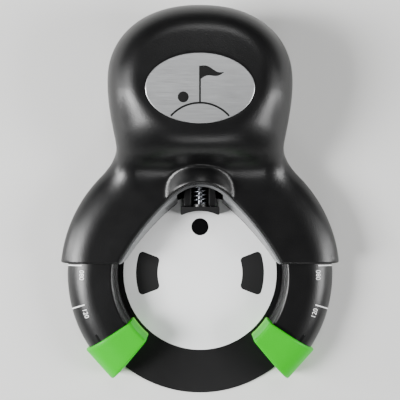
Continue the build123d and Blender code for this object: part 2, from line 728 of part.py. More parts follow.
with BuildPart() as kicker_guide:
    with BuildSketch(Plane.XY.offset(guide_seat)):
        with Locations((0, (guide_front_y + guide_rear_y) / 2)):
            Rectangle(2 * guide_half, guide_rear_y - guide_front_y)
    extrude(amount=guide_top - guide_seat)
    with BuildSketch(Plane.XY.offset(kicker_z - spring_radius - 3)):
        with Locations((0, (guide_front_y + spring_rear_y) / 2)):
            Rectangle(2 * guide_slot_half, spring_rear_y - guide_front_y)
    extrude(amount=guide_top, mode=Mode.SUBTRACT)
    with BuildSketch(Plane.XZ.offset(-spring_rear_y)):
        with Locations((0, kicker_z)):
            Circle(rod_radius + 0.1)
    extrude(amount=-2 * guide_wall, mode=Mode.SUBTRACT)
    chamfer(kicker_guide.faces().sort_by(Axis.Z)[-1].edges().filter_by(Axis.Y), 0.6)
kicker_guide.part.label = "kicker_guide"
export_step(kicker_guide.part, "parts/kicker_guide.step")

# solenoid: folded steel frame, plastic bobbin and copper winding round the core's path
bore_radius = core_radius + run_gap
bobbin_wall = 1.0
with BuildPart() as solenoid_frame:
    with BuildSketch(Plane.XY.offset(yoke_bottom)):
        with Locations((0, (yoke_front_y + yoke_rear_y) / 2)):
            Rectangle(2 * yoke_half, yoke_rear_y - yoke_front_y)
    extrude(amount=2 * yoke_half_height)
    with BuildSketch(Plane.XY.offset(yoke_bottom + yoke_thickness)):
        with Locations((0, (yoke_front_y + yoke_rear_y) / 2)):
            Rectangle(4 * yoke_half, yoke_rear_y - yoke_front_y - 2 * yoke_thickness)
    extrude(amount=2 * yoke_half_height, mode=Mode.SUBTRACT)
    with BuildSketch(Plane.XZ.offset(-yoke_front_y)):
        with Locations((0, kicker_z)):
            Circle(bore_radius)
    extrude(amount=-(yoke_rear_y - yoke_front_y), mode=Mode.SUBTRACT)
    with BuildSketch(Plane.XY.offset(yoke_bottom)):
        with Locations(yoke_screws_at):
            Circle(screw_radius)
    extrude(amount=yoke_thickness, mode=Mode.SUBTRACT)
solenoid_frame.part.label = "solenoid_frame"
export_step(solenoid_frame.part, "parts/solenoid_frame.step")

bobbin_front = yoke_front_y + yoke_thickness
bobbin_rear = yoke_rear_y - yoke_thickness
flange = 1.2
flange_radius = min(yoke_half_height - yoke_thickness - 0.1, coil_radius)
with BuildPart() as solenoid_bobbin:
    with BuildSketch(Plane.XZ.offset(-bobbin_front)):
        with Locations((0, kicker_z)):
            Circle(flange_radius)
    extrude(amount=-(bobbin_rear - bobbin_front))
    with BuildSketch(Plane.XZ.offset(-bobbin_front - flange)):
        with Locations((0, kicker_z)):
            Circle(flange_radius + 1)
            Circle(bore_radius + bobbin_wall, mode=Mode.SUBTRACT)
    extrude(amount=-(bobbin_rear - bobbin_front - 2 * flange), mode=Mode.SUBTRACT)
    with BuildSketch(Plane.XZ.offset(-bobbin_front)):
        with Locations((0, kicker_z)):
            Circle(bore_radius)
    extrude(amount=-(bobbin_rear - bobbin_front), mode=Mode.SUBTRACT)
solenoid_bobbin.part.label = "solenoid_bobbin"
export_step(solenoid_bobbin.part, "parts/solenoid_bobbin.step")

winding_radius = flange_radius - 0.8
with BuildPart() as solenoid_winding:
    with BuildSketch(Plane.XZ.offset(-bobbin_front - flange)):
        with Locations((0, kicker_z)):
            Circle(winding_radius)
            Circle(bore_radius + bobbin_wall, mode=Mode.SUBTRACT)
    extrude(amount=-(bobbin_rear - bobbin_front - 2 * flange))
solenoid_winding.part.label = "solenoid_winding"
export_step(solenoid_winding.part, "parts/solenoid_winding.step")

# ---- electronics --------------------------------------------------------------------------------
with BuildPart() as sensor_board:
    with BuildSketch(Plane.XY.offset(plate_seat - 1.6)):
        with Locations((0, window_y)):
            Rectangle(16, 12)
    extrude(amount=0.8)
    with BuildSketch(Plane.XY.offset(plate_seat - 0.8)):
        with Locations((-2, window_y), (2, window_y)):
            Rectangle(2.4, 3)
    extrude(amount=0.7)
sensor_board.part.label = "sensor_board"
export_step(sensor_board.part, "parts/sensor_board.step")

with BuildPart() as control_board:
    with BuildSketch(Plane.XY.offset(board_z)):
        with Locations((0, board_y)):
            Rectangle(board_width, board_length)
        with Locations(board_posts_at):
            Circle(screw_radius + 0.1, mode=Mode.SUBTRACT)
    extrude(amount=board_thickness)
control_board.part.label = "control_board"
export_step(control_board.part, "parts/control_board.step")

board_top = board_z + board_thickness
capacitor_radius, capacitor_length = 5.0, 20.0
with BuildPart() as power_capacitor:
    with BuildSketch(Plane.YZ.offset(-capacitor_length / 2)):
        with Locations((board_y + 6, board_top + capacitor_radius)):
            Circle(capacitor_radius)
    extrude(amount=capacitor_length)
    chamfer(power_capacitor.edges(), 0.5)
power_capacitor.part.label = "power_capacitor"
export_step(power_capacitor.part, "parts/power_capacitor.step")

with BuildPart() as drive_relay:
    with Locations((13, board_y - 8, board_top)):
        Box(12, 9, 8, align=(Align.CENTER, Align.CENTER, Align.MIN))
    chamfer(drive_relay.faces().sort_by(Axis.Z)[-1].edges(), 0.5)
drive_relay.part.label = "drive_relay"
export_step(drive_relay.part, "parts/drive_relay.step")

with BuildPart() as wire_sockets:
    with Locations(*[(x, board_y - board_length / 2 + 3, board_top) for x in (-15, -3, 5)]):
        Box(6, 5, 5, align=(Align.CENTER, Align.CENTER, Align.MIN))
wire_sockets.part.label = "wire_sockets"
export_step(wire_sockets.part, "parts/wire_sockets.step")

# ---- batteries, contacts and the door -------------------------------------------------------------
cells_at = [(side * (cell_radius + 0.15), bay_floor + cell_radius + 0.15 + level * (2 * cell_radius + 0.2))
            for side in (-1, 1) for level in (0, 1)]
with BuildPart() as battery_cells:
    for index, (x, z) in enumerate(cells_at):
        flip = index % 2
        front = bay_front_y + contact_thickness + (0 if flip else cell_spring)
        nub_plane = front if flip else front + cell_length
        with BuildSketch(Plane.XZ.offset(-front - (nub_length if flip else 0))):
            with Locations((x, z)):
                Circle(cell_radius)
        extrude(amount=-(cell_length - nub_length))
        with BuildSketch(Plane.XZ.offset(-nub_plane)):
            with Locations((x, z)):
                Circle(nub_radius)
        extrude(amount=-nub_length if flip else nub_length)
battery_cells.part.label = "battery_cells"
export_step(battery_cells.part, "parts/battery_cells.step")

with BuildPart() as battery_contacts:
    for y, outwards in ((bay_front_y, -1), (bay_rear_y, 1)):
        with BuildSketch(Plane.XZ.offset(-y)):
            with Locations(cells_at):
                Rectangle(2 * (cell_radius - contact_margin), 2 * (cell_radius - contact_margin))
        extrude(amount=outwards * contact_thickness)
battery_contacts.part.label = "battery_contacts"
export_step(battery_contacts.part, "parts/battery_contacts.step")

with BuildPart() as battery_springs:
    for index, (x, z) in enumerate(cells_at):
        rear = index % 2
        start = bay_rear_y - contact_thickness - cell_spring if rear else bay_front_y + contact_thickness
        with BuildSketch(Plane.XZ.offset(-start - 0.1)):
            with Locations((x, z)):
                Circle(spring_coil_radius)
                Circle(spring_coil_radius - spring_coil_wire, mode=Mode.SUBTRACT)
        extrude(amount=-(cell_spring - 0.2))
battery_springs.part.label = "battery_springs"
export_step(battery_springs.part, "parts/battery_springs.step")

with BuildPart() as battery_door:
    with BuildSketch(Plane.XY.offset(foot_height)):
        with Locations((0, (door_front_y + door_rear_y) / 2)):
            RectangleRounded(2 * door_half, door_rear_y - door_front_y, 2)
    extrude(amount=door_thickness)
    with BuildSketch(Plane.XY.offset(foot_height)):
        with Locations([(0, door_front_y + 6 + 2.4 * step) for step in range(4)]):
            Rectangle(18, 1.0)
    extrude(amount=0.6, mode=Mode.SUBTRACT)
battery_door.part.label = "battery_door"
export_step(battery_door.part, "parts/battery_door.step")

# ---- power switch in the rear wall ------------------------------------------------------------------
with BuildPart() as switch_body:
    with Locations((0, bay_rear_y + bay_wall, switch_z)):
        Box(14, switch_depth, 7, align=(Align.CENTER, Align.MIN, Align.CENTER))
        Box(switch_travel + 3.4, 20, 2.4, mode=Mode.SUBTRACT)
    with Locations((0, bay_rear_y + bay_wall, switch_z)):
        Box(14, 0.8, 7, align=(Align.CENTER, Align.MIN, Align.CENTER))
switch_body.part.label = "switch_body"
export_step(switch_body.part, "parts/switch_body.step")

knob_width = 4.4
with BuildPart() as switch_knob:
    with Locations((-switch_travel / 2, head_rear + 0.8, switch_z)):
        Box(knob_width, wall + 1.4, 3.6, align=(Align.CENTER, Align.MAX, Align.CENTER))
        Box(2.6, wall + 2.6, 2.0, align=(Align.CENTER, Align.MAX, Align.CENTER))
    fillet(switch_knob.faces().sort_by(Axis.Y)[-1].edges(), 0.4)
switch_knob.part.label = "switch_knob"
export_step(switch_knob.part, "parts/switch_knob.step")

# ---- screws -----------------------------------------------------------------------------------------
cover_screw_length = boss_split + pilot_depth - 0.4 - foot_height - cover_screw_recess - screw_head_height
with BuildPart() as cover_screws:
    for x, y in cover_screws_at:
        screw(x, y, foot_height + cover_screw_recess, cover_screw_length)
cover_screws.part.label = "cover_screws"
export_step(cover_screws.part, "parts/cover_screws.step")

plate_screw_length = plate_seat + 1.0 - foot_height - 0.1 - screw_head_height
with BuildPart() as plate_screws:
    for angle in (-90, 30, 150):
        screw(plate_screw_radius * cos(radians(angle)), plate_screw_radius * sin(radians(angle)),
              foot_height + 0.1, plate_screw_length)
plate_screws.part.label = "plate_screws"
export_step(plate_screws.part, "parts/plate_screws.step")

with BuildPart() as solenoid_screws:
    for x, y in yoke_screws_at:
        screw(x, y, yoke_bottom + yoke_thickness + screw_head_height, 5, upwards=False)
solenoid_screws.part.label = "solenoid_screws"
export_step(solenoid_screws.part, "parts/solenoid_screws.step")

with BuildPart() as board_screws:
    for x, y in board_posts_at:
        screw(x, y, board_top + screw_head_height, 5, upwards=False)
board_screws.part.label = "board_screws"
export_step(board_screws.part, "parts/board_screws.step")

# ---- wires inside: from the contacts, the winding and the sensor up to the board's sockets ------------
socket_front = board_y - board_length / 2 + 0.5
socket_z = board_top + 2.5
lead_turn_y = bay_front_y - 8.5


def wire(points, bend, radius=wire_radius):
    """Round wire along straight runs joined by arcs."""
    with BuildPart() as run:
        with BuildLine():
            path = FilletPolyline(*points, radius=bend)
        with BuildSketch(Plane(path @ 0, z_dir=path % 0)):
            Circle(radius)
        sweep()
    return run.part


with BuildPart() as battery_leads:
    for side, end_x in ((-1, -16.2), (1, -13.8)):
        add(wire([(side * lead_x, bay_front_y, lead_z), (side * lead_x, lead_turn_y, lead_z),
                  (end_x, lead_turn_y, socket_z), (end_x, socket_front, socket_z)], 2.6))
battery_leads.part.label = "battery_leads"
export_step(battery_leads.part, "parts/battery_leads.step")

with BuildPart() as solenoid_leads:
    for start_x, end_x in ((-2.4, -4.2), (2.4, -1.8)):
        add(wire([(start_x, bobbin_rear - 4, kicker_z + winding_radius - 0.2),
                  (start_x, bobbin_rear - 4, socket_z), (end_x, socket_front, socket_z)], 3))
solenoid_leads.part.label = "solenoid_leads"
export_step(solenoid_leads.part, "parts/solenoid_leads.step")

with BuildPart() as sensor_cable:
    add(wire([(x, y, sensor_wire_z) for x, y in cable_route]
             + [(sensor_rise_x, cable_turn_y, socket_z), (5, socket_front, socket_z)], 2.6, 0.7))
sensor_cable.part.label = "sensor_cable"
export_step(sensor_cable.part, "parts/sensor_cable.step")
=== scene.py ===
from math import cos, degrees, pi, radians, sin, sqrt

import bmesh
import bpy
import numpy as np
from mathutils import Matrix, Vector


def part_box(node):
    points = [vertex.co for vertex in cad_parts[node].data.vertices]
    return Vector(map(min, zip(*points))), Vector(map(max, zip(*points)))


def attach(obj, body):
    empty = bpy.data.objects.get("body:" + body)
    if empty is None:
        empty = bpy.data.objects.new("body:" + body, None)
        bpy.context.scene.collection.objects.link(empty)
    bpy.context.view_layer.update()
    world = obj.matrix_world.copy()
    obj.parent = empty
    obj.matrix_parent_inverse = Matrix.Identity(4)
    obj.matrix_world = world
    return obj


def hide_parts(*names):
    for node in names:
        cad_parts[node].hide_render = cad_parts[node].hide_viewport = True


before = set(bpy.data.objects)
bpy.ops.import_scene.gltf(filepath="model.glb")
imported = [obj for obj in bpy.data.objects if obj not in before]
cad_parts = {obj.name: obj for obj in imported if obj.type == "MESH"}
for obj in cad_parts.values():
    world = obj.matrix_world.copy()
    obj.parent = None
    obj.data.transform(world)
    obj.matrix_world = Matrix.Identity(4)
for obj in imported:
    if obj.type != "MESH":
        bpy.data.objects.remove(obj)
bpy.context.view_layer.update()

# ---- the place it stands in --------------------------------------------------------------------
# A pale matt floor under soft studio light: a square key each side, two low strips that draw the
# side edges, and weak fills from the front and the rear.  The camera looks straight down from
# 420 mm, over the middle of the cup's length.
camera_height, camera_y = 0.42, 0.0475
floor_half = 3.0

floor_mesh = bpy.data.meshes.new("floor")
floor_mesh.from_pydata([(x * floor_half, y * floor_half, 0) for x, y in ((-1, -1), (1, -1), (1, 1), (-1, 1))],
                       [], [(0, 1, 2, 3)])
floor = bpy.data.objects.new("floor", floor_mesh)
bpy.context.scene.collection.objects.link(floor)
floor_paint = bpy.data.materials.new("floor_paint")
floor_paint.use_nodes = True
floor_shader = floor_paint.node_tree.nodes["Principled BSDF"]
floor_shader.inputs["Base Color"].default_value = (0.62, 0.62, 0.61, 1)
floor_shader.inputs["Roughness"].default_value = 0.9
floor_mesh.materials.append(floor_paint)

world = bpy.data.worlds.new("studio_air")
world.use_nodes = True
air = world.node_tree.nodes["Background"]
air.inputs["Color"].default_value = (1.0, 1.0, 1.0, 1)
air.inputs["Strength"].default_value = 0.03
bpy.context.scene.world = world


def softbox(name, place, aim, width, height, watts):
    """Rectangular area light pointed at one spot."""
    lamp = bpy.data.lights.new(name, "AREA")
    lamp.shape = "RECTANGLE"
    lamp.size, lamp.size_y, lamp.energy = width, height, watts
    box = bpy.data.objects.new(name, lamp)
    box.location = place
    box.rotation_euler = (Vector(aim) - Vector(place)).to_track_quat("-Z", "Y").to_euler()
    bpy.context.scene.collection.objects.link(box)


softbox("left_key", (-1.15, -0.10, 0.90), (0, 0.03, 0.0), 0.50, 0.50, 48)
softbox("right_key", (1.20, -0.15, 0.72), (0, 0.03, 0.0), 0.50, 0.50, 20)
softbox("front_fill", (0.10, -1.15, 0.85), (0, 0.03, 0.0), 0.30, 0.30, 4)
softbox("left_strip", (-0.80, 0.10, 0.07), (0, 0.06, 0.03), 0.10, 0.9, 9)
softbox("right_strip", (0.80, 0.08, 0.07), (0, 0.06, 0.03), 0.08, 0.7, 4)
softbox("rear_top", (0.10, 0.85, 1.10), (0, 0.08, 0.03), 0.30, 0.25, 4)

lens = bpy.data.cameras.new("overhead_camera")
lens.lens, lens.sensor_width, lens.clip_start = 57.3, 36, 0.01
camera = bpy.data.objects.new("overhead_camera", lens)
camera.location = (0, camera_y, camera_height)
bpy.context.scene.collection.objects.link(camera)
bpy.context.scene.camera = camera

# ---- top cover ---------------------------------------------------------------------------------
# One black ABS moulding: ring-shaped shoulders over the gates, a tall round head that runs down
# into a small dome over the kicker, and a V-shaped throat.  Spark-eroded grain, satin.
MM = 0.001


class Link:
    """One socket in a material: arithmetic on it adds Math nodes."""

    def __init__(self, paint, socket):
        self.paint, self.socket = paint, socket

    def math(self, operation, *others):
        values = {index + 1: other for index, other in enumerate(others)}
        return self.paint.node("ShaderNodeMath", {"operation": operation}, {0: self, **values})

    def __add__(self, other):
        return self.math("ADD", other)

    def __mul__(self, other):
        return self.math("MULTIPLY", other)

    def __sub__(self, other):
        return self.math("SUBTRACT", other)

    def __rsub__(self, other):
        return self * -1.0 + other

    def __truediv__(self, other):
        return self.math("DIVIDE", other)

    __radd__, __rmul__ = __add__, __mul__

    def clamp(self):
        return self.math("MAXIMUM", 0.0).math("MINIMUM", 1.0)


class Paint:
    """A material with one Principled shader and the nodes that feed it."""
    low_colour, high_colour, mixed_colour = 6, 7, 2      # a colour Mix node's sockets

    def __init__(self, name, **sockets):
        self.material = bpy.data.materials.new(name)
        self.material.use_nodes = True
        self.tree = self.material.node_tree
        self.shader = self.tree.nodes["Principled BSDF"]
        self.feed(**sockets)

    def put(self, socket, value):
        """Links a socket, or sets its own value."""
        if isinstance(value, Link):
            self.tree.links.new(value.socket, socket)
        elif isinstance(value, (tuple, list)) and socket.type == "RGBA":
            socket.default_value = (*value[:3], 1.0)
        else:
            socket.default_value = value

    def node(self, kind, settings=None, sockets=None, output=0):
        """New node of this type: settings first, then its sockets' values or links."""
        made = self.tree.nodes.new(kind)
        for name, value in (settings or {}).items():
            setattr(made, name, value)
        for name, value in (sockets or {}).items():
            self.put(made.inputs[name], value)
        return Link(self, made.outputs[output])

    def feed(self, **sockets):
        """Values or links for the shader's own sockets."""
        for name, value in sockets.items():
            self.put(self.shader.inputs[name.replace("_", " ")], value)

    def place(self, stretch=(1.0, 1.0, 1.0)):
        """Millimetre coordinates fixed to the piece, stretched along its axes."""
        here = self.node("ShaderNodeTexCoord", output="Object")
        scale = tuple(share / MM for share in stretch)
        return self.node("ShaderNodeMapping", sockets={"Vector": here, "Scale": scale})

    def noise(self, size, detail=2.0, stretch=(1.0, 1.0, 1.0)):
        """Cloud pattern whose lumps are about this many millimetres across."""
        return self.node("ShaderNodeTexNoise", sockets={
            "Vector": self.place(stretch), "Scale": 1.0 / size, "Detail": detail})

    def mix(self, mask, low, high):
        """Colour that goes from low to high as the mask goes from 0 to 1."""
        return self.node("ShaderNodeMix", {"data_type": "RGBA"},
                         {0: mask, self.low_colour: low, self.high_colour: high}, output=self.mixed_colour)

    def bump(self, height, depth):
        """Relief this many millimetres deep."""
        self.feed(Normal=self.node("ShaderNodeBump", sockets={
            "Height": height, "Distance": depth * MM, "Strength": 1.0}))


def moulded(name, colour, roughness, grain, depth, sheen=0.5):
    """Moulded plastic with spark-eroded grain and faint handling marks."""
    paint = Paint(name, Specular_IOR_Level=sheen)
    patchiness = 0.05
    grains = paint.noise(grain, 3.0)
    cells = paint.node("ShaderNodeTexVoronoi", sockets={"Vector": paint.place(), "Scale": 0.8 / grain})
    marks = paint.noise(14.0, 4.0)
    tone = paint.mix(marks, tuple(0.85 * c for c in colour), tuple(1.2 * c for c in colour))
    paint.feed(Base_Color=tone, Roughness=roughness - patchiness + marks * (2 * patchiness) + grains * 0.06)
    paint.bump(grains + cells * 0.5, depth)
    return paint


cover_paint = moulded("cover_black", (0.0030, 0.0030, 0.0032), 0.31, 0.6, 0.05, sheen=0.35)


def smooth_min(a, b, reach):
    """Union of two distance fields with a fillet about `reach` wide."""
    share = np.clip(0.5 + 0.5 * (b - a) / reach, 0, 1)
    return b * (1 - share) + a * share - reach * share * (1 - share)


def smooth_max(a, b, reach):
    """Overlap of two distance fields with a round edge about `reach` wide."""
    return -smooth_min(-a, -b, reach)


def quarter_round(across, up, width, height):
    """Distance field of an elliptical edge: negative inside, zero on the rounded skin."""
    a = np.maximum(across + width, 0) / width
    b = np.maximum(up + height, 0) / height
    size = np.sqrt(a * a + b * b) + 1e-6
    slope = np.sqrt((a / width) ** 2 + (b / height) ** 2) / size + 1e-4
    inside = np.maximum(across, up)
    return np.where(size < 0.35, np.minimum(inside, -4.0), (size - 1) / slope)


head_rear, head_half, head_widest = 165.5, 56.4, 119.0
head_crown, head_round_height = 59.0, 28.0
shoulder_radius, shoulder_top, front_cut = 88.5, 29.5, 8.0
throat_centre, throat_nose, throat_side, throat_turn = 33.4, 24.0, 165.0, radians(42.0)
brow_y, brow_z, brow_lean, brow_reach = 78.5, 56.5, (-0.91, 0.414), 13.0
dome_y, dome_z, dome_radius, dome_fillet = 52.0, 20.5, 21.8, 2.5
cover_wall, cover_foot = 2.5, 1.1
ramp_room_radius, ramp_room_top = 62.0, 7.2
window_half, window_top, window_y, window_depth = 14.5, 25.0, 48.0, 14.0
slot_half, slot_z, slot_rise, slot_y, slot_depth = 4.7, 20.0, 2.2, 164.0, 6.0
seat_half, seat_y, seat_reach, seat_floor = 31.15, 111.1, 20.1, 58.5


def head_field(x, y, z):
    """Tall head: oval behind its widest line, a narrowing waist before it, and a sloping brow."""
    ax = np.abs(x)
    back = np.maximum(y - head_widest, 0)
    fore = np.maximum(head_widest - y, 0)
    length, power = head_rear - head_widest, 2.2
    u, v = ax / head_half + 1e-6, back / length + 1e-6
    ring = (u ** power + v ** power) ** (1 / power)
    slope = np.sqrt((u ** (power - 1) / head_half) ** 2 + (v ** (power - 1) / length) ** 2)
    slope = slope * ring ** (1 - power)
    rear = (ring - 1) / slope
    waist = head_half - 0.0047 * fore ** 2 / (1 + (fore / 70.0) ** 2)
    side = ax - waist
    plan = np.where(y > head_widest, rear, side)
    taper = np.clip((112.0 - y) / 42.0, 0, 1)
    width = 22.0 + 24.0 * taper * taper * (3 - 2 * taper)
    crown = 0.0004 * (x ** 2 + (y - 112.0) ** 2)
    body = quarter_round(plan, z - head_crown + crown, width, head_round_height)
    brow = brow_lean[0] * (y - brow_y) + brow_lean[1] * (z - brow_z)
    return smooth_max(body, brow, brow_reach)


def throat_field(x, y):
    """Plan distance from the throat's outline, positive in the cover's material."""
    ax = np.abs(x)
    reach = throat_side - throat_nose
    side_x, side_y = -reach * sin(throat_turn), throat_centre - reach * cos(throat_turn)
    nose = np.hypot(ax, y - throat_centre) - throat_nose
    side = np.hypot(ax - side_x, y - side_y) - throat_side
    return np.where(np.arctan2(ax, y - throat_centre) < throat_turn, nose, side)


def cover_skin(x, y, z):
    """Outer surface before the throat and the front are cut."""
    ring = quarter_round(np.hypot(x, y) - shoulder_radius, z - shoulder_top, 20.0, 14.0)
    head = head_field(x, y, z)
    body = smooth_min(ring, head, 11.0 + 5.0 * np.clip((np.abs(x) - 20.0) / 20.0, 0, 1))
    dome = np.sqrt(x ** 2 + (y - dome_y) ** 2 + (z - dome_z) ** 2) - dome_radius
    return smooth_min(body, dome, dome_fillet)


def cover_field(x, y, z):
    """The skin hollowed to its wall, with the throat, ramp, kicker, switch and badge cut in."""
    outer = cover_skin(x, y, z)
    throat = throat_field(x, y)
    hollow = smooth_max(outer + cover_wall, 1.8 - throat, 1.0)
    solid = smooth_max(outer, -hollow, 1.0)
    solid = smooth_max(solid, -throat, 1.6)
    solid = smooth_max(solid, front_cut - y, 1.2)
    solid = smooth_max(solid, cover_foot - z, 0.8)
    ramp_room = np.maximum(np.hypot(x, y) - ramp_room_radius, z - ramp_room_top)
    solid = np.maximum(solid, -ramp_room)
    window = np.maximum(np.maximum(np.abs(x) - window_half, z - window_top), np.abs(y - window_y) - window_depth)
    solid = smooth_max(solid, -window, 0.8)
    slot = np.maximum(np.maximum(np.abs(x) - slot_half, np.abs(z - slot_z) - slot_rise),
                      np.abs(y - slot_y) - slot_depth)
    oval = np.sqrt((x / seat_half) ** 2 + ((y - seat_y) / seat_reach) ** 2)
    seat = np.maximum((oval - 1) * 22.0, seat_floor - z)
    return np.maximum(np.maximum(solid, -slot), -seat)


def skin_of(field, low, high, step):
    """Closed quad mesh of a distance field's zero surface, by surface nets on a regular grid."""
    axes = [np.arange(a, b + step, step) for a, b in zip(low, high)]
    grid = np.meshgrid(*axes, indexing="ij")
    values = field(*grid).astype(np.float32)
    inside = values < 0
    cells = tuple(n - 1 for n in values.shape)
    total = np.zeros(cells + (3,), np.float32)
    count = np.zeros(cells, np.int16)
    for axis in range(3):
        near = [slice(None)] * 3
        far = [slice(None)] * 3
        near[axis], far[axis] = slice(None, -1), slice(1, None)
        a, b = values[tuple(near)], values[tuple(far)]
        cross = inside[tuple(near)] != inside[tuple(far)]
        share = np.where(cross, a / np.where(cross, a - b, 1), 0)
        u, v = [other for other in range(3) if other != axis]
        for du in (0, 1):
            for dv in (0, 1):
                pick = [slice(None)] * 3
                pick[u] = slice(du, du + cells[u])
                pick[v] = slice(dv, dv + cells[v])
                hit = cross[tuple(pick)]
                count += hit
                total[..., axis] += np.where(hit, share[tuple(pick)], 0)
                total[..., u] += hit * du
                total[..., v] += hit * dv
    used = count > 0
    number = np.full(cells, -1, np.int64)
    number[used] = np.arange(used.sum())
    corner = np.argwhere(used)
    points = np.array(low) + step * (corner + total[used] / count[used][:, None])
    quads = []
    for axis in range(3):
        u, v = (axis + 1) % 3, (axis + 2) % 3
        near = [slice(1, -1)] * 3
        far = [slice(1, -1)] * 3
        near[axis], far[axis] = slice(None, -1), slice(1, None)
        start, end = inside[tuple(near)], inside[tuple(far)]
        for flip, hit in ((False, start & ~end), (True, ~start & end)):
            spot = np.argwhere(hit)
            spot[:, u] += 1
            spot[:, v] += 1
            ring = []
            for du, dv in ((0, 0), (-1, 0), (-1, -1), (0, -1)):
                cell = spot.copy()
                cell[:, u] += du
                cell[:, v] += dv
                ring.append(number[tuple(cell.T)])
            quads.append(np.stack(ring[::-1] if flip else ring, axis=1))
    quads = np.concatenate(quads)
    settling_rounds, nudge = 3, 0.05
    for _ in range(settling_rounds):
        here = field(*points.T)
        rises = [field(*(points + nudge * way).T) - field(*(points - nudge * way).T) for way in np.eye(3)]
        slope = np.stack([rise / (2 * nudge) for rise in rises], axis=1)
        steepness = np.maximum((slope ** 2).sum(axis=1), 0.2)
        shift = slope * (here / steepness)[:, None]
        size = np.linalg.norm(shift, axis=1)[:, None]
        points = points - shift * np.minimum(1, 0.5 * step / np.maximum(size, 1e-9))
    return points, quads


def piece(name, points, faces, paint, body, smooth=True):
    """New visible piece from millimetre points, riding on a body."""
    mesh = bpy.data.meshes.new(name)
    mesh.from_pydata([tuple(point) for point in np.asarray(points) * MM], [],
                     [tuple(int(i) for i in face) for face in faces])
    mesh.materials.append(paint.material)
    mesh.validate()
    mesh.shade_smooth() if smooth else mesh.shade_flat()
    made = bpy.data.objects.new(name, mesh)
    bpy.context.scene.collection.objects.link(made)
    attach(made, body)
    return made


cover_step = 1.0
cover_low, cover_high = (-91, 5, -1), (91, 168, 62)
cover_points, cover_faces = skin_of(cover_field, cover_low, cover_high, cover_step)
cover = piece("top_cover_moulding", cover_points, cover_faces, cover_paint, "housing")
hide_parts("top_cover")


def finish(node, paint):
    """Gives a CAD piece its finish."""
    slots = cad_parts[node].data.materials
    slots.clear()
    slots.append(paint.material)


# ---- base tray, ramp and battery door ----------------------------------------------------------
# Black moulded tray.  Its front is the low round ramp that the ball climbs; the grain is
# coarser and duller there than on the cover.
tray_paint = moulded("tray_black", (0.0035, 0.0035, 0.0037), 0.36, 0.7, 0.04, sheen=0.35)
for node in ("base_tray", "battery_door", "kicker_guide", "switch_body"):
    finish(node, tray_paint)

# ---- cup plate ---------------------------------------------------------------------------------
# Injection moulded in glossy white and held to the tray by screws from below, with faint scuffs
# where balls land.
plate_paint = Paint("plate_white", IOR=1.5)
scuffs = plate_paint.noise(6.0, 6.0)
rings = plate_paint.noise(40.0, 2.0)
plate_paint.feed(
    Base_Color=plate_paint.mix(rings, (0.80, 0.81, 0.82), (0.88, 0.88, 0.88)),
    Roughness=0.16 + scuffs * 0.12, Coat_Weight=0.3, Coat_Roughness=0.08)
plate_paint.bump(scuffs, 0.004)
finish("cup_plate", plate_paint)

# ---- rubber pads and feet ----------------------------------------------------------------------
# Matt dark rubber, moulded and glued: a pad let into the plate on each side, and a ring and feet
# under the tray.
rubber_paint = moulded("pad_rubber", (0.0075, 0.0075, 0.0078), 0.55, 0.35, 0.02, sheen=0.25)
for node in ("left_plate_pad", "right_plate_pad", "rubber_feet"):
    finish(node, rubber_paint)

# ---- ball sensor's window ----------------------------------------------------------------------
# Polished moulded lens over the ball sensor, set into the plate.  It looks black but lets
# infrared through.
window_paint = Paint("window_dark", Coat_Weight=0.5)
window_tint = window_paint.mix(window_paint.noise(3.0), (0.002, 0.002, 0.0025), (0.003, 0.003, 0.0035))
window_paint.feed(Base_Color=window_tint, Roughness=0.12 + window_paint.noise(5.0, 4.0) * 0.1)
finish("sensor_window", window_paint)

# ---- throat liner ------------------------------------------------------------------------------
# Light grey moulded wall that runs round the throat between the cover and the plate.  Its foot,
# next to the plate, is painted dark as shade.
painted_shade_top = 8.6
liner_paint = Paint("liner_grey")
liner_cloud = liner_paint.noise(9.0, 3.0)
liner_height = liner_paint.node("ShaderNodeSeparateXYZ", sockets={"Vector": liner_paint.place()}, output="Z")
liner_grey = liner_paint.mix(liner_cloud, (0.15, 0.153, 0.158), (0.18, 0.183, 0.188))
# Painted shade: below this height the liner turns near black, at its foot by the plate.
over_painted_shade = ((liner_height - painted_shade_top) * 1.5).clamp()
liner_paint.feed(Base_Color=liner_paint.mix(over_painted_shade, (0.01, 0.01, 0.01), liner_grey),
                 Roughness=0.28 + liner_cloud * 0.1)
liner_paint.bump(liner_paint.noise(0.6), 0.008)
finish("throat_liner", liner_paint)

# ---- oval badge --------------------------------------------------------------------------------
# Aluminium plate brushed lengthwise and glued into its seat in the head, with a flag, a ball and
# the green's edge printed on it in black.
badge_paint = Paint("badge_metal", Metallic=1.0)
brushing = badge_paint.noise(0.25, 4.0, (0.02, 1.0, 1.0))
streaks = badge_paint.noise(1.2, 3.0, (0.03, 1.0, 1.0))
badge_paint.feed(Base_Color=badge_paint.mix(streaks, (0.56, 0.57, 0.58), (0.74, 0.75, 0.76)),
                 Roughness=0.30 + brushing * 0.22)
badge_paint.bump(brushing, 0.012)
finish("oval_badge", badge_paint)

ink_paint = Paint("badge_ink", Specular_IOR_Level=0.2)
ink_paint.feed(Base_Color=ink_paint.mix(ink_paint.noise(2.0), (0.003, 0.003, 0.003), (0.005, 0.005, 0.005)),
               Roughness=0.5 + ink_paint.noise(4.0) * 0.1)
badge_low, badge_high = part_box("oval_badge")
badge_y, badge_top = (badge_low[1] + badge_high[1]) / 2 / MM, badge_high[2] / MM
ink_sunk, ink_proud = 0.02, 0.03


def print_on_badge(name, outline):
    """Thin raised print whose outline is in millimetres about the badge's centre."""
    count = len(outline)
    heights = badge_top - ink_sunk, badge_top + ink_proud
    points = [(x, badge_y + y, z) for z in heights for x, y in outline]
    faces = [tuple(range(count - 1, -1, -1)), tuple(range(count, 2 * count))]
    faces += [(i, (i + 1) % count, count + (i + 1) % count, count + i) for i in range(count)]
    made = piece(name, points, faces, ink_paint, "housing", smooth=False)


